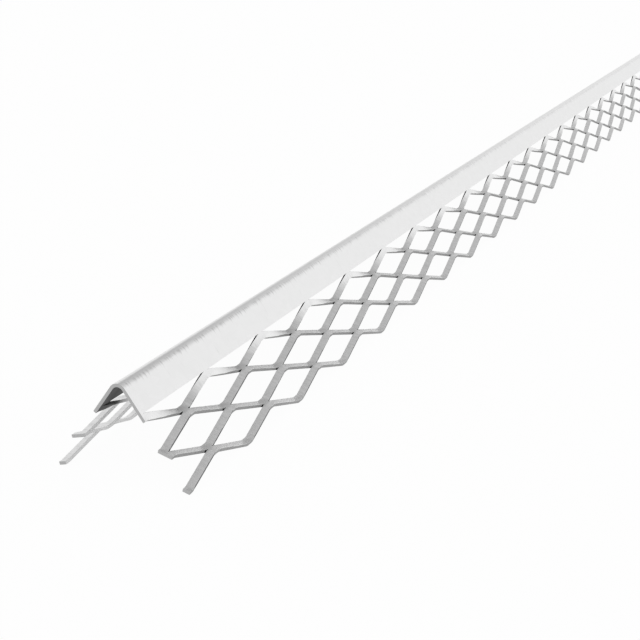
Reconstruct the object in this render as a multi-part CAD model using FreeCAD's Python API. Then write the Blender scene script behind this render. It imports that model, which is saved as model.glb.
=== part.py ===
"""Expanded metal corner bead: one strip of galvanised steel, folded to a rounded nose along its middle,
with both margins slit and drawn out into diamond mesh.

X runs across the bead, Y along it and Z up. The bead stands on the free edges of its two wings with the nose
on top, as it does when it is put down on a floor. The origin is on the floor, under the middle of the bead.
"""
import FreeCAD, Part
import math
import os

# Driving dimensions, in millimetres and degrees.
bead_length = 2400.0      # length that the bead is sold in
corner_angle = 72.0       # angle between the two wings, sprung in from the square corner that they go over
sheet = 1.1               # thickness of the steel
nose_radius = 3.2         # outside of the rounded nose
flank_width = 12.6        # plain steel on each side of the nose, from the sharp corner to the slit line
diamond_pitch = 38.1      # length of one diamond along the bead, fitted to a whole number of diamonds
row_spacing = 7.0         # from one row of bonds to the next, down the wing
edge_spacing = 6.75       # from the last row of bonds to the free edge
strand_width = 2.55       # steel between two slits
bond_length = 3.1         # steel left whole between the ends of two slits
bond_tilt = 39.0          # turn of the strands out of the wing, from drawing the mesh open
bond_rows = 3             # rows of bonds between the slit line and the free edge

pitch_count = max(1, round(bead_length / diamond_pitch))
half_pitch = bead_length / pitch_count / 2.0
half_angle = math.radians(corner_angle / 2.0)
tilt = math.radians(bond_tilt)

# Down the right wing and out of its outer face, as (X, Z) directions.
DOWN = (math.sin(half_angle), -math.cos(half_angle))
OUT = (math.cos(half_angle), math.sin(half_angle))

# Sides of a strand's section, in the order of its corners.
UNDER, LOWER, TOP, UPPER = range(4)


def row_place(row):
    """Distance of a row of bonds down the wing from the slit line. The row after the last is the free edge."""
    if row <= bond_rows:
        return row * row_spacing
    return bond_rows * row_spacing + edge_spacing


def strand_place(row, half):
    """Middle and turn of a strand's section in a row: half is -1 above the bond's middle line, 1 below it.

    In row 0 the strand is still flat, in the plane of the flank and next to the slit line.
    """
    if row == 0:
        return strand_width / 2.0, 0.0, 0.0
    step = half * strand_width / 2.0
    return row_place(row) + step * math.cos(tilt), step * math.sin(tilt), tilt


def section_corners(place):
    """Corners of a strand's rectangular section, as distances down the wing and out of its middle surface."""
    down, out, turn = place
    corners = []
    for side, face in ((-1, -1), (1, -1), (1, 1), (-1, 1)):
        across = side * strand_width / 2.0
        through = face * sheet / 2.0
        corner_down = down + across * math.cos(turn) - through * math.sin(turn)
        corner_out = out + across * math.sin(turn) + through * math.cos(turn)
        corners.append((corner_down, corner_out))
    return corners


def drop(down, out):
    """Height of a point of the wing under the sharp corner of the sheet's middle surface."""
    return -(flank_width + down) * DOWN[1] - out * OUT[1]


# The free edge stands on the floor, which sets the height of the sharp corner.
corner_height = max(drop(*corner) for corner in section_corners(strand_place(bond_rows + 1, -1)))


def wing_point(down, out, along):
    """Point of the right wing: down from the slit line, out of the sheet's middle surface, along the bead."""
    x = (flank_width + down) * DOWN[0] + out * OUT[0]
    return FreeCAD.Vector(x, along, corner_height - drop(down, out))


def polygon_face(*points):
    """Flat face between the points."""
    return Part.Face(Part.makePolygon(points + points[:1]))


def run_faces(start, end, open_side, twisted):
    """Faces of a strand from one section to the next; open_side lies inside a bond and has no face.

    A side of a twisted run is folded along its diagonal, so that all faces are flat.
    """
    faces = []
    for side in (UNDER, LOWER, TOP, UPPER):
        after = (side + 1) % 4
        if side == open_side:
            continue
        if twisted:
            faces.append(polygon_face(start[side], start[after], end[after]))
            faces.append(polygon_face(start[side], end[after], end[side]))
        else:
            faces.append(polygon_face(start[side], start[after], end[after], end[side]))
    return faces


def strand_faces(upper_row):
    """Skin of the zigzag strand between a row of bonds and the next row down, from end to end of the bead.

    It runs straight through a bond of one row, crosses to a bond of the other row and crosses back. The even
    rows have bonds at the ends of the bead, where the cut leaves half of each.
    """
    lower_row = upper_row + 1
    places = {upper_row: strand_place(upper_row, 1), lower_row: strand_place(lower_row, -1)}
    bond_sides = {upper_row: UPPER, lower_row: LOWER}
    twisted = places[upper_row][2] != places[lower_row][2]
    bead_end = bead_length / 2.0
    faces = []
    previous = None
    for number in range(2 * pitch_count + 1):
        row = upper_row if (upper_row + number) % 2 == 0 else lower_row
        centre = number * half_pitch - bead_end
        first = max(-bead_end, centre - bond_length / 2.0)
        last = min(bead_end, centre + bond_length / 2.0)
        start = [wing_point(*corner, first) for corner in section_corners(places[row])]
        end = [wing_point(*corner, last) for corner in section_corners(places[row])]
        if previous:
            faces += run_faces(previous, start, None, twisted)
        else:
            faces.append(polygon_face(*start))
        bonded = 1 <= row <= bond_rows
        faces += run_faces(start, end, bond_sides[row] if bonded else None, False)
        previous = end
    faces.append(polygon_face(*previous))
    return faces


def make_wing():
    """Right wing: the skins of its strands, closed into one solid by the bonds that they share."""
    faces = []
    for upper_row in range(bond_rows + 1):
        faces += strand_faces(upper_row)
    skin = Part.makeShell(faces)
    skin.sewShape()
    return Part.makeSolid(skin)


def nose_line(out):
    """Right half of the nose section, out of the middle surface: slit line, start of the bend and crown."""
    bend_radius = nose_radius - sheet / 2.0
    bend_start = bend_radius / math.tan(half_angle) - flank_width
    bend_centre = corner_height - bend_radius / math.sin(half_angle)
    front = -bead_length / 2.0
    crown = FreeCAD.Vector(0.0, front, bend_centre + bend_radius + out)
    return wing_point(0.0, out, front), wing_point(bend_start, out, front), crown


def mirrored(point):
    """The same point on the left half."""
    return FreeCAD.Vector(-point.x, point.y, point.z)


def make_nose():
    """Plain middle of the strip: two flat flanks and the round nose between them."""
    outer_slit, outer_bend, outer_crown = nose_line(sheet / 2.0)
    inner_slit, inner_bend, inner_crown = nose_line(-sheet / 2.0)
    outline = [
        Part.LineSegment(outer_slit, outer_bend),
        Part.Arc(outer_bend, outer_crown, mirrored(outer_bend)),
        Part.LineSegment(mirrored(outer_bend), mirrored(outer_slit)),
        Part.LineSegment(mirrored(outer_slit), mirrored(inner_slit)),
        Part.LineSegment(mirrored(inner_slit), mirrored(inner_bend)),
        Part.Arc(mirrored(inner_bend), inner_crown, inner_bend),
        Part.LineSegment(inner_bend, inner_slit),
        Part.LineSegment(inner_slit, outer_slit),
    ]
    section = Part.Face(Part.Wire([line.toShape() for line in outline]))
    return section.extrude(FreeCAD.Vector(0.0, bead_length, 0.0))


right_wing = make_wing()
origin = FreeCAD.Vector(0.0, 0.0, 0.0)
across = FreeCAD.Vector(1.0, 0.0, 0.0)
pieces = {
    "nose_strip": make_nose(),
    "right_wing": right_wing,
    "left_wing": right_wing.mirror(origin, across),
}

os.makedirs("parts", exist_ok=True)
for name, shape in pieces.items():
    shape.exportStep("parts/" + name + ".step")
    print(name, shape.isValid(), len(shape.Solids), len(shape.Faces), round(shape.Volume), shape.BoundBox)
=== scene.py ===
# %% [markdown]
# # A corner bead of expanded metal
#
# The real object is one long strip of galvanised steel. Its middle is folded to a rounded nose, and
# both of its margins are slit and drawn open into a mesh of diamonds, which plaster keys into. The
# strip stands on the free edges of its two wings, like a tent. The lesson models one diamond's length
# of the bead by hand, repeats it along the bead with an array, and cuts both ends square, as the real
# bead is cut off the line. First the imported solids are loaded: they give the overall size that the
# finished piece has to keep.

import math

import bmesh
import bpy
from mathutils import Matrix, Vector


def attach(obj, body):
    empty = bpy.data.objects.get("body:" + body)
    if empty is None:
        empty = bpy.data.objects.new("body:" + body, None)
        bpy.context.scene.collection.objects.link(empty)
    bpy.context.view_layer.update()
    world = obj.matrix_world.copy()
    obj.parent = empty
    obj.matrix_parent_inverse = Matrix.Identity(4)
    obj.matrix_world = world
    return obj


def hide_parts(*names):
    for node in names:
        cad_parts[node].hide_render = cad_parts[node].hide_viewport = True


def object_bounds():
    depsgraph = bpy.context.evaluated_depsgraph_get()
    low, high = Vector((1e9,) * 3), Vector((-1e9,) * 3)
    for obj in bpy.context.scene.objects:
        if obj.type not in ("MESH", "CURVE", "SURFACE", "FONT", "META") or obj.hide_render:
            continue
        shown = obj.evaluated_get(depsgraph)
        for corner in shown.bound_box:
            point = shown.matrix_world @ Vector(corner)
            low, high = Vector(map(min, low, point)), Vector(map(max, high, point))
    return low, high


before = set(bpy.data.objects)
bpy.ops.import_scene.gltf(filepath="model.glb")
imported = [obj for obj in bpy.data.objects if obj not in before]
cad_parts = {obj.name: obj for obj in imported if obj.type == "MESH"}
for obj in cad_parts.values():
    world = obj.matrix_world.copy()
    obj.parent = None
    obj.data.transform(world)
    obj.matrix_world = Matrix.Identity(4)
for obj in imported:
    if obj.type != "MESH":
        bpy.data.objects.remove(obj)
cad_low, cad_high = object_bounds()
bead_length = cad_high.y - cad_low.y
print("solids loaded:", sorted(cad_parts), "length", round(bead_length, 4))

# %% [markdown]
# ## The sizes that everything follows from
#
# A maker of this strip sets a slitting tool and a folding tool, and every length in the mesh comes
# from a few of their settings. They are written once here, in millimetres, and the places below are
# worked out from them. The length and the height come from the frame, so that the piece fits the
# solids with no adjusting.

# %% Set the tools' sizes
MM = 0.001
sheet = 1.1 * MM              # thickness of the steel
nose_radius = 3.2 * MM        # outside of the rounded nose
flank_width = 12.6 * MM       # plain steel from the sharp corner to the slit line
row_spacing = 7.0 * MM        # from one row of bonds to the next, down the wing
edge_spacing = 6.75 * MM      # from the last row of bonds to the free edge
strand_width = 2.55 * MM      # steel between two slits
bond_length = 3.1 * MM        # steel left whole between the ends of two slits
bond_tilt = math.radians(39)  # turn of the strands out of the wing
half_angle = math.radians(36)  # slope of a wing, from upright
pitch_count = 63              # diamonds along the bead
bond_rows = 3                 # rows of bonds between the slit line and the free edge

pitch = bead_length / pitch_count
down = Vector((math.sin(half_angle), 0.0, -math.cos(half_angle)))
out = Vector((math.cos(half_angle), 0.0, math.sin(half_angle)))
bend_radius = nose_radius - sheet / 2
bend_centre = Vector((0.0, 0.0, cad_high.z - nose_radius))
sharp_corner = bend_centre + Vector((0.0, 0.0, bend_radius / math.sin(half_angle)))
print("one diamond is", round(pitch / MM, 2), "mm long")

# %% [markdown]
# ## The nose
#
# The nose is the plain middle of the strip: a flat flank on each side and a rounded bend between
# them, all of one thickness. It could be a curve with a bevel, but its section is so simple that
# folding it as the tool does is clearer: one flank's section is a flat rectangle, its upper edge is
# spun round the centre of the bend, and the edge that comes out is extruded into the other flank.
# Only then is the whole section drawn along the bead.


# %% Draw the first flank's section
def add_section(name, middle, slope, width):
    """Rectangle that is the steel's section across the bead, sloping down to the right."""
    bpy.ops.object.select_all(action="DESELECT")
    bpy.ops.mesh.primitive_plane_add(size=1.0, location=middle, rotation=(math.pi / 2, slope, 0.0))
    section = bpy.context.object
    section.name = name
    section.scale = (width, sheet, 1.0)
    bpy.ops.object.transform_apply(location=True, rotation=True, scale=True)
    return section


cell_start = cad_low.y - pitch / 4
flank_slope = math.pi / 2 - half_angle
bend_start = bend_radius / math.tan(half_angle)
flat_width = flank_width - bend_start
flank_middle = sharp_corner + down * (bend_start + flat_width / 2)
flank_middle.y = cell_start
nose = add_section("corner_bead", flank_middle, flank_slope, flat_width)
print("flat part of a flank", round(flat_width / MM, 2), "mm wide")


# %% Fold the nose round its bend
def select_only(piece, kind, wanted):
    """Selects the vertices, edges or faces that pass a test, and nothing else, in edit mode."""
    bpy.ops.mesh.select_mode(type=kind)
    bpy.ops.mesh.select_all(action="DESELECT")
    mesh = bmesh.from_edit_mesh(piece.data)
    mesh.normal_update()
    parts = {"VERT": mesh.verts, "EDGE": mesh.edges, "FACE": mesh.faces}[kind]
    found = [part for part in parts if wanted(part)]
    for part in found:
        part.select_set(True)
    mesh.select_flush_mode()
    bmesh.update_edit_mesh(piece.data)
    return len(found)


bend_steps = 24
bend_top = (sharp_corner + down * bend_start).z
bpy.ops.object.mode_set(mode="EDIT")
select_only(nose, "VERT", lambda vertex: vertex.co.z > bend_top - sheet)
bpy.ops.mesh.spin(steps=bend_steps, angle=math.pi - 2 * half_angle, center=bend_centre, axis=(0, 1, 0))
left_flank = Vector((-down.x, 0.0, down.z)) * flat_width
bpy.ops.mesh.extrude_region_move(TRANSFORM_OT_translate={"value": left_flank})
print("nose section has", len(bmesh.from_edit_mesh(nose.data).faces), "faces")

# %% Draw the section along one diamond
bend_length = 0.7 * MM        # half of the length in which a strand bends out of a bond
root_reach = bond_length / 2 - bend_length
bpy.ops.mesh.select_all(action="SELECT")
for step in (pitch / 4 - root_reach, 2 * root_reach, pitch * 3 / 4 - root_reach):
    bpy.ops.mesh.extrude_region_move(TRANSFORM_OT_translate={"value": (0.0, step, 0.0)})
bpy.ops.object.mode_set(mode="OBJECT")
print("nose is drawn over", round(nose.dimensions.y / MM, 2), "mm")

# %% [markdown]
# ## The strands
#
# Between two slits lies a narrow strand of steel. When the mesh is drawn open, each strand is pulled
# into a zigzag: it runs straight through a bond of one row, crosses to a bond of the next row and
# crosses back, and the whole strand turns out of the wing's plane. A strand could be a curve with a
# rectangular bevel, but extruding its section from one place to the next keeps the section exact at
# the bonds, where two strands have to meet edge to edge. The first strand grows out of the flank, so
# it starts flat and twists on its way down.


# %% Work out where a strand runs
def row_place(row):
    """Distance of a row of bonds down the wing from the slit line; the free edge follows the last row."""
    return min(row, bond_rows) * row_spacing + max(row - bond_rows, 0) * edge_spacing


def strand_place(row, half):
    """Middle and turn of a strand's section in a row; half is -1 above the bond's middle, 1 below it."""
    turn = bond_tilt if row else 0.0
    half = half if row else 1
    step = half * strand_width / 2
    way = down * (flank_width + row_place(row) + step * math.cos(turn)) + out * step * math.sin(turn)
    return sharp_corner + way, turn


def crossing(along):
    """How far a strand has crossed from an even row to an odd one, 0 to 1, and how fast it crosses."""
    from_bond = abs((along + pitch / 2) % pitch - pitch / 2)
    second_half = from_bond > pitch / 4
    if second_half:
        from_bond = pitch / 2 - from_bond
    run = pitch / 2 - bond_length
    straight = max(from_bond - bond_length / 2 - bend_length, 0.0)
    bend = min(max(from_bond - bond_length / 2 + bend_length, 0.0), 2 * bend_length)
    speed = bend / (2 * bend_length * run)
    share = speed * bend / 2 + straight / run
    return 1 - share if second_half else share, speed


print("crossed a quarter of the way along:", round(crossing(pitch / 4)[0], 3))


# %% Work out a strand's sections
bend_parts = 3                # steps in which a strand bends out of a bond
twist_parts = 6               # steps in which the first strand twists
cell_margin = 0.1 * MM        # a section this near to the cell's end is left out


def strand_stations(twisted):
    """Places along one diamond where a strand's section is drawn, from the cell's start."""
    bend = [bond_length / 2 + bend_length * (2 * part / bend_parts - 1) for part in range(bend_parts + 1)]
    cross = [bend[-1] + (pitch / 2 - 2 * bend[-1]) * part / twist_parts for part in range(1, twist_parts)]
    near = bend + (cross if twisted else [])
    half = near + [pitch / 2 - place for place in reversed(bend)]
    whole = half + [pitch - place for place in reversed(half)]
    before = [place - pitch for place in whole if place > pitch * 3 / 4 + cell_margin]
    inside = [place for place in whole if place < pitch * 3 / 4 - cell_margin]
    return [-pitch / 4] + before + inside + [pitch * 3 / 4]


def section_at(upper_row, along):
    """Middle, slope and width of the section of the strand under a row, at a place along the bead."""
    upper, upper_turn = strand_place(upper_row, 1)
    lower, lower_turn = strand_place(upper_row + 1, -1)
    share, speed = crossing(along)
    if upper_row % 2:
        share = 1 - share
    middle = upper.lerp(lower, share)
    middle.y = cad_low.y + along
    eased = share * share * (3 - 2 * share)
    slope = flank_slope - upper_turn - (lower_turn - upper_turn) * eased
    width = strand_width * math.hypot(1.0, speed * (lower - upper).length)
    return middle, slope, width


print("sections of a strand:", len(strand_stations(False)), "and of the first:", len(strand_stations(True)))

# %% Draw the four strands of the right wing
strands = []
for upper_row in range(bond_rows + 1):
    stations = strand_stations(upper_row == 0)
    middle, slope, width = section_at(upper_row, stations[0])
    strand = add_section("strand", middle, slope, width)
    bpy.ops.object.mode_set(mode="EDIT")
    bpy.ops.mesh.select_all(action="SELECT")
    for along in stations[1:]:
        new_middle, new_slope, new_width = section_at(upper_row, along)
        bpy.ops.mesh.extrude_region_move(TRANSFORM_OT_translate={"value": new_middle - middle})
        bpy.ops.transform.rotate(value=slope - new_slope, orient_axis="Y", center_override=new_middle)
        across = (math.cos(new_slope), 0.0, -math.sin(new_slope))
        through = (math.sin(new_slope), 0.0, math.cos(new_slope))
        bpy.ops.transform.resize(
            value=(new_width / width, 1.0, 1.0),
            orient_matrix=Matrix((across, (0.0, 1.0, 0.0), through)).transposed(),
            orient_matrix_type="GLOBAL",
            center_override=new_middle,
        )
        middle, slope, width = new_middle, new_slope, new_width
    bpy.ops.object.mode_set(mode="OBJECT")
    strands.append(strand)
print("strands drawn:", len(strands), "with", [len(strand.data.polygons) for strand in strands], "faces")

# %% [markdown]
# ## The left wing
#
# The bead is the same on both sides, so the left wing is a mirror image. A Mirror modifier does that
# in one step. Its merging is off, because the two wings never touch: only the nose joins them.

# %% Mirror the strands
bpy.ops.object.select_all(action="DESELECT")
for strand in strands:
    strand.select_set(True)
wings = strands[0]
bpy.context.view_layer.objects.active = wings
bpy.ops.object.join()
mirror = wings.modifiers.new("left wing", "MIRROR")
mirror.use_mirror_merge = False
bpy.ops.object.modifier_apply(modifier=mirror.name)
print("two wings of one diamond:", len(wings.data.polygons), "faces")

# %% [markdown]
# ## One skin
#
# Nose and strands are still separate tubes that touch. In the real strip the steel goes through
# without a break at every bond, so the walls inside the bonds have to go. The tubes' open ends are
# cleared first, then the touching corners are merged, and Blender's own search for faces inside a
# body finds the walls to delete.

# %% Join the cell and clear its inner walls
merge_distance = 0.01 * MM    # corners that touch lie closer than this


def looks_along_bead(face):
    """True for a face that looks straight along the bead, as the cells' ends and the cut ends do."""
    return abs(face.normal.y) > 0.99


bpy.ops.object.select_all(action="DESELECT")
wings.select_set(True)
nose.select_set(True)
bpy.context.view_layer.objects.active = nose
bpy.ops.object.join()
bpy.ops.object.mode_set(mode="EDIT")
caps = select_only(nose, "FACE", looks_along_bead)
bpy.ops.mesh.delete(type="FACE")
bpy.ops.mesh.select_all(action="SELECT")
bpy.ops.mesh.remove_doubles(threshold=merge_distance)
bpy.ops.mesh.select_all(action="DESELECT")
bpy.ops.mesh.select_interior_faces()
walls = sum(face.select for face in bmesh.from_edit_mesh(nose.data).faces)
bpy.ops.mesh.delete(type="FACE")
bpy.ops.mesh.select_all(action="SELECT")
bpy.ops.mesh.normals_make_consistent(inside=False)
bpy.ops.object.mode_set(mode="OBJECT")
print("removed", caps, "caps and", walls, "inner walls;", len(nose.data.polygons), "faces are left")

# %% [markdown]
# ## Which surface is which
#
# It is all one steel, but not one surface. The broad sides carry the zinc that the strip was dipped
# in: the outer side was polished by the rolls, and the inner side, which lies in shade, gets a dark
# painted shade. The slits were sheared after that. A shear leaves one edge of each strand smooth and
# tears the other; the torn edges look down the wing and are darkened partly by painted shade, and the
# edge of the first slit, a narrow gap in shade, gets a black painted shade. The normals tell these
# faces apart: an edge looks along the strand's width, a broad side looks across it. Each kind gets
# its finish here, while the faces are few; the finishes themselves are built further on.

# %% Name the finishes
zinc = bpy.data.materials.new("galvanised_steel_rolled")          # bright, with soft reflections
inner_zinc_painted_shade = bpy.data.materials.new("galvanised_steel_inner_painted_shade")  # dark and cloudy, without shine: a painted shade on the inner side
smooth_edge = bpy.data.materials.new("galvanised_steel_sheared")  # a clean middle grey with fine lines
torn_edge_shade_and_light = bpy.data.materials.new("galvanised_steel_torn_shade_and_light")       # darker and grainy, partly painted shade, black painted shade in the corners, painted light on every second leg
first_edge_shaded = bpy.data.materials.new("galvanised_steel_slit_painted_shade")  # black painted shade in the slit, fading to grey down the strand
cut_end = bpy.data.materials.new("galvanised_steel_cropped")      # bare grey steel with lines across
finishes = [zinc, inner_zinc_painted_shade, smooth_edge, torn_edge_shade_and_light, first_edge_shaded, cut_end]
nose.data.materials.clear()
for finish in finishes:
    nose.data.materials.append(finish)
print("finishes:", len(finishes))

# %% Give the faces their finishes
strand_across = down * math.cos(bond_tilt) + out * math.sin(bond_tilt)
slit_depth = sharp_corner.dot(down) + flank_width
edge_share = 0.7              # a face that looks this far along a strand's width is one of its edges


def looks_along(face, way):
    """How far a face looks along a direction of the right wing, or of its mirror image on the left."""
    side = math.copysign(1.0, face.calc_center_median().x)
    return side * face.normal.x * way.x + face.normal.z * way.z


def depth_under_slit(face):
    """How far the middle of a face lies down the wing from the slit line."""
    middle = face.calc_center_median()
    return abs(middle.x) * down.x + middle.z * down.z - slit_depth


def give_finish(piece, finish, wanted):
    """Selects the faces that pass a test and gives them a finish."""
    found = select_only(piece, "FACE", wanted)
    piece.active_material_index = finishes.index(finish)
    bpy.ops.object.material_slot_assign()
    print(finish.name, "on", found, "faces")


def is_upper_edge(face):
    """True for the edge of a strand that looks up the wing."""
    return looks_along(face, strand_across) < -edge_share


def is_lower_edge(face):
    """True for the edge of a strand that looks down the wing."""
    return looks_along(face, strand_across) > edge_share


def is_first_edge(face):
    """True for the edge of the first strand that looks up, into the slit under the flank."""
    return is_upper_edge(face) and depth_under_slit(face) < row_spacing - strand_width / 2


bpy.ops.object.mode_set(mode="EDIT")
# the inner faces get the painted shade of the inner side
give_finish(nose, inner_zinc_painted_shade, lambda face: looks_along(face, out) < 0)
give_finish(nose, smooth_edge, is_upper_edge)
# the edges that look down the wing get torn steel darkened with painted shade
give_finish(nose, torn_edge_shade_and_light, is_lower_edge)
# the first slit's edge gets its painted shade
give_finish(nose, first_edge_shaded, is_first_edge)

# %% [markdown]
# ## Edges that catch the light
#
# No sheared edge is perfectly sharp. A narrow bevel along the strands and flanks takes the sharpness
# off and gives the light a line to catch. The corners at the ends of the slits are left out: more
# than four edges meet in them, and the bevel would open small holes there.

# %% Take the sharpness off the long edges
edge_round = 0.05 * MM        # width that the bevel takes off
sharp_from = math.radians(60)  # faces that meet at more than this angle have a sharp edge
bpy.ops.mesh.select_all(action="DESELECT")
bpy.ops.mesh.select_mode(type="EDGE")
bpy.ops.mesh.edges_select_sharp(sharpness=sharp_from)
sharp_edges = {edge.index for edge in bmesh.from_edit_mesh(nose.data).edges if edge.select}


def is_long_edge(edge):
    """True for a sharp edge along a strand that doesn't touch the end of a slit, where more edges meet."""
    first, last = edge.verts
    plain = len(first.link_edges) <= 4 and len(last.link_edges) <= 4
    return plain and edge.index in sharp_edges and abs(first.co.y - last.co.y) > edge_round


long_edges = select_only(nose, "EDGE", is_long_edge)
bpy.ops.mesh.bevel(offset=edge_round, segments=1, affect="EDGES")
bpy.ops.object.mode_set(mode="OBJECT")
print("rounded", long_edges, "edges;", len(nose.data.polygons), "faces")

# %% [markdown]
# ## The whole bead
#
# An array lays one diamond after another and merges their ends. It makes one cell more than the bead
# has diamonds, because the first cell starts a quarter of a diamond too early. Both ends are then cut
# square through the middle of a bond, with bisect, which also closes the cut.

# %% Repeat the diamond along the bead
array = nose.modifiers.new("diamonds", "ARRAY")
array.count = pitch_count + 1
array.use_relative_offset = False
array.use_constant_offset = True
array.constant_offset_displace = (0.0, pitch, 0.0)
array.use_merge_vertices = True
array.merge_threshold = merge_distance
bpy.ops.object.modifier_apply(modifier=array.name)
print("array has", len(nose.data.polygons), "faces")

# %% Cut both ends square
bpy.ops.object.mode_set(mode="EDIT")
for end, keep in ((cad_low.y, 1.0), (cad_high.y, -1.0)):
    bpy.ops.mesh.select_all(action="SELECT")
    bpy.ops.mesh.bisect(
        plane_co=(0.0, end, 0.0),
        plane_no=(0.0, keep, 0.0),
        use_fill=True,
        clear_inner=True,
    )
give_finish(nose, cut_end, looks_along_bead)
bpy.ops.mesh.select_all(action="SELECT")
bpy.ops.mesh.normals_make_consistent(inside=False)
bpy.ops.object.mode_set(mode="OBJECT")
smooth_to = math.radians(25)  # the steps of a bend are smoothed, the edges stay crisp
bpy.ops.object.shade_smooth_by_angle(angle=smooth_to)
bead = nose
triangles = sum(len(face.vertices) - 2 for face in bead.data.polygons)
print("triangles", triangles)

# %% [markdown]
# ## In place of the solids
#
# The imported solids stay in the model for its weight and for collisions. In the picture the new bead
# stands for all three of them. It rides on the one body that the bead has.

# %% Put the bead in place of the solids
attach(bead, "root")
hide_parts("nose_strip", "right_wing", "left_wing")
print("bead box", [round(size / MM, 2) for size in bead.dimensions])

# %% [markdown]
# ## One way to add a node
#
# A material is a tree of nodes, and writing it in code is mostly adding a node, setting it and
# linking it. One small function does that for every kind of node. Another one turns a colour as it is
# picked on a screen, a hex value, into the linear light that the shaders count in.


# %% Write the helpers for materials
def linear(hex_value):
    """Turns an sRGB hex value into a linear colour."""
    channels = [int(hex_value[place:place + 2], 16) / 255 for place in (0, 2, 4)]
    return [c / 12.92 if c <= 0.04045 else ((c + 0.055) / 1.055) ** 2.4 for c in channels] + [1.0]


def add_node(tree, kind, links=None, **settings):
    """Adds a node, makes its settings, and gives each input a value or a link from another node."""
    node = tree.nodes.new(kind)
    for name, value in settings.items():
        setattr(node, name, value)
    for name, value in (links or {}).items():
        if isinstance(value, bpy.types.NodeSocket):
            tree.links.new(value, node.inputs[name])
        else:
            node.inputs[name].default_value = value
    return node


def empty_tree(holder):
    """Gives a material or the world an empty node tree."""
    holder.use_nodes = True
    holder.node_tree.nodes.clear()
    return holder.node_tree


print("a mid grey of 808080 is", round(linear("808080")[0], 3), "of full light")

# %% [markdown]
# ## Where on the wing?
#
# Several finishes change down the wing, or come back at every bond. Both can be read from Object
# coordinates, which are the real places on the bead in metres. For the depth, the absolute value
# folds the left wing onto the right one, and a dot product measures down the wing. A bond comes back
# with every diamond along the bead, and half a diamond further on in the next row down. A wave along
# the bead times a wave down the wing has its peaks at just these places, so no bond has to be placed
# by hand. Moved by a quarter of a turn, the same waves are above 0 on every second leg of a strand
# and below 0 on the others.


# %% Measure the depth and find the bonds
def depth_on_wing(tree, place):
    """Adds the nodes that measure how far a place lies down the wing from the slit line."""
    folded = add_node(tree, "ShaderNodeVectorMath", {0: place}, operation="ABSOLUTE")
    from_top = add_node(
        tree,
        "ShaderNodeVectorMath",
        {0: folded.outputs["Vector"], 1: down},
        operation="DOT_PRODUCT",
    )
    depth = add_node(
        tree,
        "ShaderNodeMath",
        {0: from_top.outputs["Value"], 1: slit_depth},
        operation="SUBTRACT",
    )
    return depth.outputs[0]


def bond_waves(tree, place, depth, ahead=0.0, above=0.0):
    """Adds the nodes of a wave that is 1 at every bond, or a little ahead of its middle and above it."""
    axes = add_node(tree, "ShaderNodeSeparateXYZ", {"Vector": place})
    turns = 2 * math.pi / pitch
    along = add_node(
        tree,
        "ShaderNodeMath",
        {0: axes.outputs["Y"], 1: turns, 2: (ahead - cad_low.y) * turns},
        operation="MULTIPLY_ADD",
    )
    wave_along = add_node(tree, "ShaderNodeMath", {0: along.outputs[0]}, operation="COSINE")
    turns = math.pi / row_spacing
    across = add_node(
        tree,
        "ShaderNodeMath",
        {0: depth, 1: turns, 2: above * turns},
        operation="MULTIPLY_ADD",
    )
    wave_across = add_node(tree, "ShaderNodeMath", {0: across.outputs[0]}, operation="COSINE")
    waves = add_node(
        tree,
        "ShaderNodeMath",
        {0: wave_along.outputs[0], 1: wave_across.outputs[0]},
        operation="MULTIPLY",
    )
    return waves.outputs[0]


def leg_waves(tree, place, depth):
    """Adds the nodes of a wave that is above 0 on every second leg and below 0 on the others."""
    return bond_waves(tree, place, depth, ahead=-pitch / 4, above=-row_spacing / 2)


print("bonds come back every", round(pitch / MM, 2), "mm along,", round(2 * row_spacing / MM, 2), "mm down")

# %% [markdown]
# ## The zinc of the outer side
# The strip was dipped in molten zinc and rolled, which leaves a bright, neutral metal with a soft
# gloss and faint crystals, the spangle. On the flanks it stays as it was rolled. On the strands the
# zinc was stretched as the mesh was drawn open: it is rougher there and has fine lines down the
# wing, which are a noise that is squeezed along the bead. On the right wing, a painted shade darkens
# a patch by each bond, where the strand above meets it. Every second leg gets a painted light and is
# a little lighter. It is all one coat, so one material is built, which changes over with the depth
# under the slit line.

# %% Lay the rolled and the stretched zinc
spangle_size = 2.5 * MM       # crystals of rolled zinc
stretch_gap = 0.8 * MM        # stretch lines, really about 0.3 mm apart, drawn coarser so that they show
stretch_length = 4.0 * MM     # length of such a line, down the wing
tree = empty_tree(zinc)
place = add_node(tree, "ShaderNodeTexCoord").outputs["Object"]
depth = depth_on_wing(tree, place)
crystals = add_node(tree, "ShaderNodeTexVoronoi", {"Vector": place, "Scale": 1 / spangle_size})
crystal_shade = add_node(tree, "ShaderNodeSeparateColor", {"Color": crystals.outputs["Color"]})
pulled = add_node(
    tree,
    "ShaderNodeMapping",
    {"Vector": place, "Scale": (1 / stretch_length, 1 / stretch_gap, 1 / stretch_length)},
)
stretch = add_node(
    tree,
    "ShaderNodeTexNoise",
    {"Vector": pulled.outputs["Vector"], "Scale": 1.0, "Detail": 3.0},
)
rolled = add_node(
    tree,
    "ShaderNodeMix",
    {0: crystal_shade.outputs["Red"], 6: linear("EBEBEB"), 7: linear("EDEDED")},
    data_type="RGBA",
)
stretched = add_node(
    tree,
    "ShaderNodeMix",
    {0: stretch.outputs["Fac"], 6: linear("D8D8D8"), 7: linear("FEFEFE")},
    data_type="RGBA",
)
drawn = add_node(
    tree,
    "ShaderNodeMapRange",
    {"Value": depth, "From Min": 0.0, "From Max": row_spacing / 2},
    interpolation_type="SMOOTHSTEP",
)
print("the coat changes over in", round(row_spacing / 2 / MM, 2), "mm")
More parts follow.
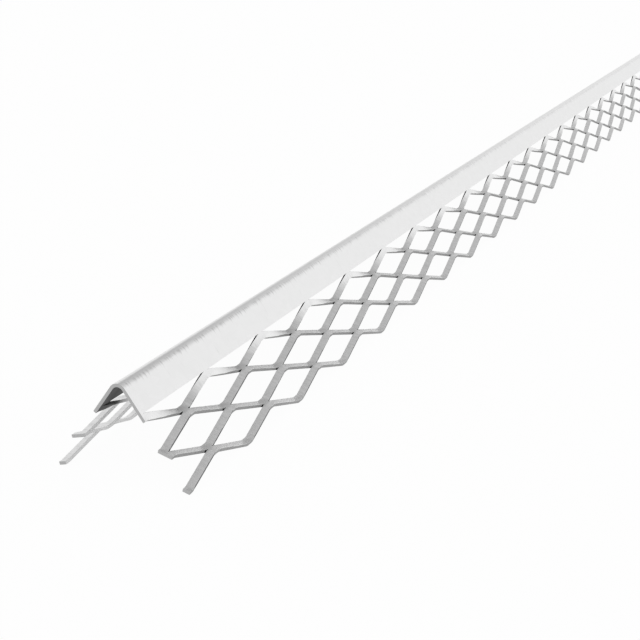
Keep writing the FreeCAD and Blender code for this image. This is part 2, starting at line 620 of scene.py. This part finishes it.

# %% Paint shade by the bonds
shade_ahead = 1.25 * MM       # from a bond's middle to the middle of its painted shade, towards the near end
shade_above = 0.9 * MM        # and up the wing
shade_from = 0.78             # wave at the rim of a patch of painted shade
shade_full = 0.96             # wave from which it is full
shade_share = 0.55            # share of the dark colour where the painted shade is full
axes = add_node(tree, "ShaderNodeSeparateXYZ", {"Vector": place})
on_right = add_node(tree, "ShaderNodeMath", {0: axes.outputs["X"], 1: 0.0}, operation="GREATER_THAN")
bond_shade_waves = bond_waves(tree, place, depth, ahead=shade_ahead, above=shade_above)
bond_shade = add_node(
    tree,
    "ShaderNodeMapRange",
    {"Value": bond_shade_waves, "From Min": shade_from, "From Max": shade_full, "To Max": shade_share},
    interpolation_type="SMOOTHSTEP",
)
right_bond_shade = add_node(
    tree,
    "ShaderNodeMath",
    {0: bond_shade.outputs["Result"], 1: on_right.outputs[0]},
    operation="MULTIPLY",
)
# the patches of painted shade lie this far ahead of their bonds
print("press marks lie", round(shade_ahead / MM, 2), "mm ahead of their bonds")

# %% Paint light on every second leg and lay the coat
highlight_from = 0.05              # wave where a leg's painted light begins
highlight_full = 0.45              # wave from which it is full
highlight_share = 0.75             # share of the light colour there
second_legs = leg_waves(tree, place, depth)
leg_highlight = add_node(
    tree,
    "ShaderNodeMapRange",
    {"Value": second_legs, "From Min": highlight_from, "From Max": highlight_full, "To Max": highlight_share},
    interpolation_type="SMOOTHSTEP",
)
# every second leg is painted lighter, a painted light
coat_with_highlight = add_node(
    tree,
    "ShaderNodeMix",
    {0: leg_highlight.outputs["Result"], 6: stretched.outputs[2], 7: linear("FEFEFE")},
    data_type="RGBA",
)
# C6C6C6 is the painted shade by the right wing's bonds
strand_coat = add_node(
    tree,
    "ShaderNodeMix",
    {0: right_bond_shade.outputs[0], 6: coat_with_highlight.outputs[2], 7: linear("C6C6C6")},
    data_type="RGBA",
)
coat = add_node(
    tree,
    "ShaderNodeMix",
    {0: drawn.outputs["Result"], 6: rolled.outputs[2], 7: strand_coat.outputs[2]},
    data_type="RGBA",
)
print(zinc.name, "has", len(tree.nodes), "nodes so far")

# %% [markdown]
# ## Painted reflection streaks along the nose
#
# Fine grey streaks across the outside of the bend, which end raggedly on the flank, are a painted
# reflection: they paint the ragged lower edge of the grey band that the bend reflects. A noise that
# is squeezed along the bead and drawn out down the flank gives such streaks. The height decides how
# many of them are left: many at the shoulder of the bend, none further down.

# %% Draw the streaks
streak_gap = 0.9 * MM         # from one streak to the next
streak_length = 6.0 * MM      # length that a streak could have
streak_reach = 2.0 * MM       # lowest end of a streak under the shoulder
shoulder_turn = math.radians(33)  # from the crown of the nose to its shoulder
few_left = 0.74               # noise that a streak has to pass at its lowest end
many_left = 0.48              # noise that it has to pass at the shoulder
shoulder = bend_centre.z + nose_radius * math.cos(shoulder_turn)
squeezed = add_node(
    tree,
    "ShaderNodeMapping",
    {"Vector": place, "Scale": (0.0, 1 / streak_gap, 1 / streak_length)},
)
streaks = add_node(
    tree,
    "ShaderNodeTexNoise",
    {"Vector": squeezed.outputs["Vector"], "Scale": 1.0, "Detail": 2.0},
)
limit = add_node(
    tree,
    "ShaderNodeMapRange",
    {
        "Value": axes.outputs["Z"],
        "From Min": shoulder - streak_reach,
        "From Max": shoulder,
        "To Min": few_left,
        "To Max": many_left,
    },
)
left_over = add_node(
    tree,
    "ShaderNodeMath",
    {0: streaks.outputs["Fac"], 1: limit.outputs["Result"]},
    operation="SUBTRACT",
)
print("streaks reach", round(streak_reach / MM, 1), "mm below the shoulder")

# %% Paint the streaks on the bend
streak_turn = math.radians(15)   # from the crown of the nose to the first painted streaks
faint_from = -0.10            # a streak begins a little under the noise that it has to pass
full_from = 0.18              # and is full a little over it
first_streak = bend_centre.z + nose_radius * math.cos(streak_turn)
streak_mask = add_node(
    tree,
    "ShaderNodeMapRange",
    {"Value": left_over.outputs[0], "From Min": faint_from, "From Max": full_from},
    interpolation_type="SMOOTHSTEP",
)
below_crown = add_node(
    tree,
    "ShaderNodeMapRange",
    {"Value": axes.outputs["Z"], "From Min": first_streak, "From Max": shoulder},
    interpolation_type="SMOOTHSTEP",
)
painted_streaks = add_node(
    tree,
    "ShaderNodeMath",
    {0: streak_mask.outputs["Result"], 1: below_crown.outputs["Result"]},
    operation="MULTIPLY",
)
# the streaks are a painted reflection, a grey laid over the coat
colour = add_node(
    tree,
    "ShaderNodeMix",
    {0: painted_streaks.outputs[0], 6: coat.outputs[2], 7: linear("D2D2D2")},
    data_type="RGBA",
)
# the painted streaks begin this far under the crown
print("rub marks begin", round((cad_high.z - first_streak) / MM, 2), "mm under the crown")

# %% Give the zinc its gloss
flank_roughness = 0.28        # as rolled
dullest = 0.52                # roughness of the stretched zinc between its lines
brightest = 0.42              # roughness on the lines
relief_height = 0.1 * MM      # height of all the fine relief
strand_gloss = add_node(
    tree,
    "ShaderNodeMapRange",
    {"Value": stretch.outputs["Fac"], "To Min": dullest, "To Max": brightest},
)
gloss = add_node(
    tree,
    "ShaderNodeMapRange",
    {
        "Value": drawn.outputs["Result"],
        "To Min": flank_roughness,
        "To Max": strand_gloss.outputs["Result"],
    },
)
stretch_relief = add_node(
    tree,
    "ShaderNodeMath",
    {0: stretch.outputs["Fac"], 1: drawn.outputs["Result"]},
    operation="MULTIPLY",
)
relief = add_node(
    tree,
    "ShaderNodeBump",
    {"Height": stretch_relief.outputs[0], "Strength": 0.15, "Distance": relief_height},
)
metal = add_node(
    tree,
    "ShaderNodeBsdfPrincipled",
    {
        "Base Color": colour.outputs[2],
        "Metallic": 1.0,
        "Roughness": gloss.outputs["Result"],
        "Specular Tint": linear("FAFAFA"),  # takes a little of the shine at flat angles
        "Normal": relief.outputs["Normal"],
    },
)
add_node(tree, "ShaderNodeOutputMaterial", {"Surface": metal.outputs["BSDF"]})
print(zinc.name, "has", len(tree.nodes), "nodes")

# %% [markdown]
# ## The inner side, with painted shade
#
# The inside of the bead lies in shade, and that shade is painted on its zinc: a dark grey, clouded in
# patches of a few millimetres. It also loses the shine that metal has at a flat angle: a grey
# specular tint takes that away. Further down the wing the painted shade gives way, and the inner
# sides of the strands are lighter.

# %% Build the inner zinc with its painted shade
cloud_size = 4.0 * MM         # patches of the skin
shade_gives_way_from = 4.5 * MM         # depth under the slit line where the painted shade begins to give way
dullest = 0.52                # roughness of the dark clouds
brightest = 0.38              # roughness of the light ones
tree = empty_tree(inner_zinc_painted_shade)
place = add_node(tree, "ShaderNodeTexCoord").outputs["Object"]
clouds = add_node(tree, "ShaderNodeTexNoise", {"Vector": place, "Scale": 1 / cloud_size, "Detail": 5.0})
# a dark grey painted shade, in clouds
painted_shade_clouds = add_node(
    tree,
    "ShaderNodeMix",
    {0: clouds.outputs["Fac"], 6: linear("4A4A4A"), 7: linear("6E6E6E")},
    data_type="RGBA",
)
shade_gives_way = add_node(
    tree,
    "ShaderNodeMapRange",
    {"Value": depth_on_wing(tree, place), "From Min": shade_gives_way_from, "From Max": row_spacing},
    interpolation_type="SMOOTHSTEP",
)
colour = add_node(
    tree,
    "ShaderNodeMix",
    {0: shade_gives_way.outputs["Result"], 6: painted_shade_clouds.outputs[2], 7: linear("C0C0C0")},
    data_type="RGBA",
)
gloss = add_node(
    tree,
    "ShaderNodeMapRange",
    {"Value": clouds.outputs["Fac"], "To Min": dullest, "To Max": brightest},
)
relief = add_node(
    tree,
    "ShaderNodeBump",
    {"Height": clouds.outputs["Fac"], "Strength": 0.1, "Distance": relief_height},
)
metal = add_node(
    tree,
    "ShaderNodeBsdfPrincipled",
    {
        "Base Color": colour.outputs[2],
        "Metallic": 1.0,
        "Roughness": gloss.outputs["Result"],
        "Specular Tint": linear("BCBCBC"),
        "Normal": relief.outputs["Normal"],
    },
)
add_node(tree, "ShaderNodeOutputMaterial", {"Surface": metal.outputs["BSDF"]})
print(inner_zinc_painted_shade.name, "has", len(tree.nodes), "nodes")

# %% [markdown]
# ## The sheared edges
#
# A blade cuts the first part of an edge and leaves it smooth, with fine lines in the direction of the
# cut. The rest breaks off, and the broken steel is rough and darker. On this strip the edges that
# look up the wing are the smooth ones, and those that look down it are torn; their dark colour is
# partly that of torn steel and partly painted shade, as they look down into shade. The lines are a
# noise that is squeezed along the bead. The torn grain is a plain noise that also lifts and lowers
# the surface. On every second leg the torn edge is painted lighter, a painted light, and so are the
# round corners under the bonds. In the sharp corners beside the bonds the edge is painted black, a
# painted shade, and its metallic value goes to 0 there. The free edge has no bonds, so it gets none.

# %% Build the smooth edge
line_gap = 0.6 * MM           # lines of the blade, really about 0.1 mm, drawn coarser so that they show
line_length = 3.0 * MM        # length of such a line


def build_lined_steel(finish, sizes, shades, roughness):
    """Builds steel with a blade's lines: their sizes along X, Y and Z, two shades and two roughnesses."""
    tree = empty_tree(finish)
    place = add_node(tree, "ShaderNodeTexCoord").outputs["Object"]
    squeezed = add_node(tree, "ShaderNodeMapping", {"Vector": place, "Scale": [1 / size for size in sizes]})
    lines = add_node(tree, "ShaderNodeTexNoise", {"Vector": squeezed.outputs["Vector"], "Scale": 1.0})
    colour = add_node(
        tree,
        "ShaderNodeMix",
        {0: lines.outputs["Fac"], 6: linear(shades[0]), 7: linear(shades[1])},
        data_type="RGBA",
    )
    gloss = add_node(
        tree,
        "ShaderNodeMapRange",
        {"Value": lines.outputs["Fac"], "To Min": roughness[0], "To Max": roughness[1]},
    )
    relief = add_node(
        tree,
        "ShaderNodeBump",
        {"Height": lines.outputs["Fac"], "Strength": 0.1, "Distance": relief_height},
    )
    metal = add_node(
        tree,
        "ShaderNodeBsdfPrincipled",
        {
            "Base Color": colour.outputs[2],
            "Metallic": 1.0,
            "Roughness": gloss.outputs["Result"],
            "Normal": relief.outputs["Normal"],
        },
    )
    add_node(tree, "ShaderNodeOutputMaterial", {"Surface": metal.outputs["BSDF"]})
    print(finish.name, "has", len(tree.nodes), "nodes")


build_lined_steel(
    smooth_edge,
    sizes=(line_length, line_gap, line_length),
    shades=("CCCCCC", "DADADA"),
    roughness=(0.45, 0.35),
)

# %% Build the torn edge
grain_size = 0.5 * MM         # torn grain, really about 0.05 mm, drawn coarser so that it shows
unlit_to = -0.25               # wave up to which a leg's edge keeps its dark colour, torn steel with painted shade
lit_from = -0.10          # wave from which it has the painted light, with the corners under the bonds
tree = empty_tree(torn_edge_shade_and_light)
place = add_node(tree, "ShaderNodeTexCoord").outputs["Object"]
depth = depth_on_wing(tree, place)
grain = add_node(tree, "ShaderNodeTexNoise", {"Vector": place, "Scale": 1 / grain_size, "Detail": 3.0})
# torn steel, darkened with painted shade
torn_shaded = add_node(
    tree,
    "ShaderNodeMix",
    {0: grain.outputs["Fac"], 6: linear("484848"), 7: linear("747474")},
    data_type="RGBA",
)
# the lighter colour is a painted light on every second leg
lit_legs_colour = add_node(
    tree,
    "ShaderNodeMix",
    {0: grain.outputs["Fac"], 6: linear("949494"), 7: linear("C0C0C0")},
    data_type="RGBA",
)
second_legs = leg_waves(tree, place, depth)
lit_legs = add_node(
    tree,
    "ShaderNodeMapRange",
    {"Value": second_legs, "From Min": unlit_to, "From Max": lit_from},
)
edge_steel = add_node(
    tree,
    "ShaderNodeMix",
    {0: lit_legs.outputs["Result"], 6: torn_shaded.outputs[2], 7: lit_legs_colour.outputs[2]},
    data_type="RGBA",
)
print("a torn edge has a grain of", round(grain_size / MM, 2), "mm")

# %% Paint shade in the corners
corner_shade_from = 0.84               # wave at the rim of the painted shade
corner_shade_full = 0.89               # wave from which the edge is black
last_row = row_place(bond_rows)
bond_corners = add_node(
    tree,
    "ShaderNodeMapRange",
    {"Value": bond_waves(tree, place, depth), "From Min": corner_shade_from, "From Max": corner_shade_full},
    interpolation_type="SMOOTHSTEP",
)
above_free_edge = add_node(
    tree,
    "ShaderNodeMapRange",
    {
        "Value": depth,
        "From Min": last_row,
        "From Max": last_row + edge_spacing / 2,
        "To Min": 1.0,
        "To Max": 0.0,
    },
)
corner_shade = add_node(
    tree,
    "ShaderNodeMath",
    {0: bond_corners.outputs["Result"], 1: above_free_edge.outputs["Result"]},
    operation="MULTIPLY",
)
# the painted shade in the corners stays above this depth
print("oil stays above", round((last_row + edge_spacing / 2) / MM, 2), "mm under the slit line")

# %% Finish the torn edge
dullest = 0.75                # roughness of the dark grains
brightest = 0.6               # roughness of the light ones
# the corners beside the bonds get a black painted shade
colour = add_node(
    tree,
    "ShaderNodeMix",
    {0: corner_shade.outputs[0], 6: edge_steel.outputs[2], 7: linear("0A0A0A")},
    data_type="RGBA",
)
metal_share = add_node(
    tree,
    "ShaderNodeMapRange",
    {"Value": corner_shade.outputs[0], "To Min": 1.0, "To Max": 0.0},
)
gloss = add_node(
    tree,
    "ShaderNodeMapRange",
    {"Value": grain.outputs["Fac"], "To Min": dullest, "To Max": brightest},
)
relief = add_node(
    tree,
    "ShaderNodeBump",
    {"Height": grain.outputs["Fac"], "Strength": 0.25, "Distance": relief_height},
)
metal = add_node(
    tree,
    "ShaderNodeBsdfPrincipled",
    {
        "Base Color": colour.outputs[2],
        "Metallic": metal_share.outputs["Result"],
        "Roughness": gloss.outputs["Result"],
        "Specular IOR Level": 0.0,  # the black painted shade has no shine
        "Normal": relief.outputs["Normal"],
    },
)
add_node(tree, "ShaderNodeOutputMaterial", {"Surface": metal.outputs["BSDF"]})
print(torn_edge_shade_and_light.name, "has", len(tree.nodes), "nodes")

# %% [markdown]
# ## Oil in the first slit
#
# The slit between the flank and the first strand is almost shut at its ends, and its narrow gap lies
# in shade. That shade is painted on the strand's edge: black where the strand leaves the flank, dark
# grey on the way and plain grey where the slit has opened. The colour follows the depth under the
# slit line in two steps, and a grain makes the painted shade's limits uneven. On the legs that get
# no painted light, the painted shade reaches further down.

# %% Build the painted shade of the first slit
further_down = 2.0 * MM       # how much further the painted shade reaches on the legs without painted light
shade_longer_to = -0.10            # wave up to which it reaches that far
shade_shorter_from = 0.05             # wave from which it doesn't
shade_grain = 1.0 * MM        # how uneven the painted shade's limits are
tree = empty_tree(first_edge_shaded)
place = add_node(tree, "ShaderNodeTexCoord").outputs["Object"]
depth = depth_on_wing(tree, place)
second_legs = leg_waves(tree, place, depth)
shift = add_node(
    tree,
    "ShaderNodeMapRange",
    {
        "Value": second_legs,
        "From Min": shade_longer_to,
        "From Max": shade_shorter_from,
        "To Min": -further_down,
        "To Max": 0.0,
    },
)
shade_depth = add_node(
    tree,
    "ShaderNodeMath",
    {0: depth, 1: shift.outputs["Result"]},
    operation="ADD",
)
grain = add_node(tree, "ShaderNodeTexNoise", {"Vector": place, "Scale": 1 / grain_size, "Detail": 3.0})
uneven = add_node(
    tree,
    "ShaderNodeMath",
    {0: grain.outputs["Fac"], 1: shade_grain, 2: shade_depth.outputs[0]},
    operation="MULTIPLY_ADD",
)
print("the stain reaches", round(further_down / MM, 1), "mm further on every second leg")

# %% Colour the painted shade of the first slit
black_to = 0.7 * MM           # depth down to which the painted shade is black
dark_from = 2.2 * MM          # depth where it has become dark grey
dark_to = 2.9 * MM            # depth down to which it stays so
unshaded_from = 5.0 * MM         # depth where the painted shade has gone
dullest = 0.6                 # roughness in the grain's hollows
brightest = 0.4               # roughness on its heights
past_black = add_node(
    tree,
    "ShaderNodeMapRange",
    {"Value": uneven.outputs[0], "From Min": black_to, "From Max": dark_from},
    interpolation_type="SMOOTHSTEP",
)
slit_shade = add_node(
    tree,
    "ShaderNodeMix",
    {0: past_black.outputs["Result"], 6: linear("020202"), 7: linear("585858")},
    data_type="RGBA",
)
past_grey = add_node(
    tree,
    "ShaderNodeMapRange",
    {"Value": uneven.outputs[0], "From Min": dark_to, "From Max": unshaded_from},
    interpolation_type="SMOOTHSTEP",
)
colour = add_node(
    tree,
    "ShaderNodeMix",
    {0: past_grey.outputs["Result"], 6: slit_shade.outputs[2], 7: linear("D0D0D0")},
    data_type="RGBA",
)
gloss = add_node(
    tree,
    "ShaderNodeMapRange",
    {"Value": grain.outputs["Fac"], "To Min": dullest, "To Max": brightest},
)
relief = add_node(
    tree,
    "ShaderNodeBump",
    {"Height": grain.outputs["Fac"], "Strength": 0.1, "Distance": relief_height},
)
metal = add_node(
    tree,
    "ShaderNodeBsdfPrincipled",
    {
        "Base Color": colour.outputs[2],
        "Metallic": past_grey.outputs["Result"],
        "Roughness": gloss.outputs["Result"],
        "Specular IOR Level": 0.0,  # the painted shade has no shine
        "Normal": relief.outputs["Normal"],
    },
)
add_node(tree, "ShaderNodeOutputMaterial", {"Surface": metal.outputs["BSDF"]})
print(first_edge_shaded.name, "has", len(tree.nodes), "nodes")

# %% [markdown]
# ## The cropped ends
#
# A guillotine crops the bead to length. Its blade leaves bare steel with fine lines from top to
# bottom, a middle grey beside the bright zinc. It is made as the smooth edge was, with the noise
# squeezed across the bead instead of along it.

# %% Build the cropped end
build_lined_steel(
    cut_end,
    sizes=(line_gap, line_length, line_length),
    shades=("ACACAC", "BEBEBE"),
    roughness=(0.5, 0.4),
)

# %% [markdown]
# ## The floor
#
# The bead stands on white paper that has no end in sight. To look white, and still keep the bead's
# shadow, the paper is a matte white that also glows, but only for the camera and in reflections. The
# Light Path node tells these rays from the others, which find plain matte paper.

# %% Lay the floor
floor_size = 60.0             # metres, so that its edge is never seen
glow_share = 0.96             # the rest is left to the matte paper, which shows the shadow
bpy.ops.object.select_all(action="DESELECT")
bpy.ops.mesh.primitive_plane_add(size=floor_size)
floor = bpy.context.object
floor.name = "floor"
paper = bpy.data.materials.new("matte_white_paper")  # white all over, without shine
floor.data.materials.append(paper)
tree = empty_tree(paper)
matte = add_node(tree, "ShaderNodeBsdfDiffuse", {"Color": linear("FAFAFA")})
glow = add_node(tree, "ShaderNodeEmission", {"Color": linear("FFFFFF"), "Strength": 1.0})
path = add_node(tree, "ShaderNodeLightPath")
seen = add_node(
    tree,
    "ShaderNodeMath",
    {0: path.outputs["Is Camera Ray"], 1: path.outputs["Is Glossy Ray"]},
    operation="MAXIMUM",
)
shown = add_node(
    tree,
    "ShaderNodeMath",
    {0: seen.outputs[0], 1: path.outputs["Is Transmission Ray"]},
    operation="MAXIMUM",
)
share = add_node(tree, "ShaderNodeMath", {0: shown.outputs[0], 1: glow_share}, operation="MULTIPLY")
surface = add_node(
    tree,
    "ShaderNodeMixShader",
    {0: share.outputs[0], 1: matte.outputs["BSDF"], 2: glow.outputs["Emission"]},
)
add_node(tree, "ShaderNodeOutputMaterial", {"Surface": surface.outputs["Shader"]})
print("floor laid,", floor.dimensions.x, "m wide")

# %% [markdown]
# ## The studio
#
# Bare metal shows little of its own: it shows the room. The room here is white along the floor and up
# the right side, where a large screen stands, and fades to a grey ceiling. The flank looks into the
# screen and is nearly white, the strands look up and are grey, and the nose shows the change from one
# to the other. A second screen on the left brightens the left wing. All of it is painted on the world
# by direction, and one wide lamp adds a soft shadow.

# %% Stand the right screen
right_slant = 0.30            # how much higher the white reaches further to the right
left_slant = 0.65             # how much lower it ends further to the left
white_to = 0.31               # height up to which the screen is white, where straight up is 1
grey_from = 0.79              # height where it has faded
world = bpy.data.worlds.new("studio")
bpy.context.scene.world = world
tree = empty_tree(world)
where = add_node(tree, "ShaderNodeTexCoord")
axes = add_node(tree, "ShaderNodeSeparateXYZ", {"Vector": where.outputs["Generated"]})
leftward = add_node(tree, "ShaderNodeMath", {0: axes.outputs["X"], 1: 0.0}, operation="MINIMUM")
slanted = add_node(
    tree,
    "ShaderNodeMath",
    {0: axes.outputs["X"], 1: -right_slant, 2: axes.outputs["Z"]},
    operation="MULTIPLY_ADD",
)
kinked = add_node(
    tree,
    "ShaderNodeMath",
    {0: leftward.outputs[0], 1: right_slant - left_slant, 2: slanted.outputs[0]},
    operation="MULTIPLY_ADD",
)
right_screen = add_node(
    tree,
    "ShaderNodeMapRange",
    {
        "Value": kinked.outputs[0],
        "From Min": white_to,
        "From Max": grey_from,
        "To Min": 1.0,
        "To Max": 0.0,
    },
)
print("the right screen fades from", white_to, "to", grey_from)

# %% Stand the left screen
left_light = 0.90             # light of the left screen, where white is 1
left_edge = -0.45             # how far left its edge is, where straight left is -1
left_full = -0.60             # where it has its full light
left_to = 0.5                 # height up to which it is lit, where straight up is 1
left_top = 0.8                # height where it ends
left_side = add_node(
    tree,
    "ShaderNodeMapRange",
    {"Value": axes.outputs["X"], "From Min": left_edge, "From Max": left_full},
    interpolation_type="SMOOTHSTEP",
)
left_height = add_node(
    tree,
    "ShaderNodeMapRange",
    {
        "Value": axes.outputs["Z"],
        "From Min": left_to,
        "From Max": left_top,
        "To Min": left_light,
        "To Max": 0.0,
    },
    interpolation_type="SMOOTHSTEP",
)
left_screen = add_node(
    tree,
    "ShaderNodeMath",
    {0: left_side.outputs["Result"], 1: left_height.outputs["Result"]},
    operation="MULTIPLY",
)
print("the left screen has", left_light, "of the right one's light")

# %% Light the room
ceiling = 0.50                # light of the grey ceiling, where white is 1
screens = add_node(
    tree,
    "ShaderNodeMapRange",
    {"Value": right_screen.outputs["Result"], "To Min": left_screen.outputs[0], "To Max": 1.0},
)
room = add_node(
    tree,
    "ShaderNodeMapRange",
    {"Value": screens.outputs["Result"], "To Min": ceiling, "To Max": 1.0},
)
light = add_node(
    tree,
    "ShaderNodeBackground",
    {"Color": linear("FFFFFF"), "Strength": room.outputs["Result"]},
)
add_node(tree, "ShaderNodeOutputWorld", {"Surface": light.outputs["Background"]})
print("the room has", len(tree.nodes), "nodes")

# %% Hang the lamp
lamp_width = math.radians(70)  # a wide lamp has a soft shadow
light_way = Vector((0.4, 0.75, -1.0))  # from the near left, down to the far right
bpy.ops.object.light_add(type="SUN", location=(-1.0, -3.0, 3.0))
lamp = bpy.context.object
lamp.name = "soft_lamp"
lamp.data.energy = 0.4
lamp.data.angle = lamp_width
lamp.rotation_euler = light_way.to_track_quat("-Z", "Y").to_euler()
print("lamp is", round(math.degrees(lamp.data.angle)), "degrees wide")

# %% [markdown]
# ## The camera
#
# The camera looks down on the near end of the bead from its right, so that the right wing and the end
# of the nose are seen together. Its place, its turn and its lens were worked out from where the slit
# ends and cut ends of the bead lie in the picture.

# %% Set up the camera
camera_data = bpy.data.cameras.new("camera")
camera = bpy.data.objects.new("camera", camera_data)
bpy.context.scene.collection.objects.link(camera)
camera.location = (0.19539, -1.47600, 0.17372)
azimuth = math.radians(25.01)
elevation = math.radians(20.08)
camera.rotation_euler = (math.pi / 2 - elevation, 0.0, azimuth)
picture_width = 640           # pixels
focal_length = 1213.3         # pixels
camera_data.sensor_width = 36.0
camera_data.lens = focal_length / picture_width * camera_data.sensor_width
camera_data.clip_start = 0.01
camera_data.clip_end = 100.0
bpy.context.scene.camera = camera
bpy.context.scene.view_settings.view_transform = "Standard"
print("lens", round(camera_data.lens, 1), "mm")

# %% [markdown]
# ## The last step
#
# The bead has to keep the size of the solids.

# %% Bring the scene up to date
bpy.context.view_layer.update()
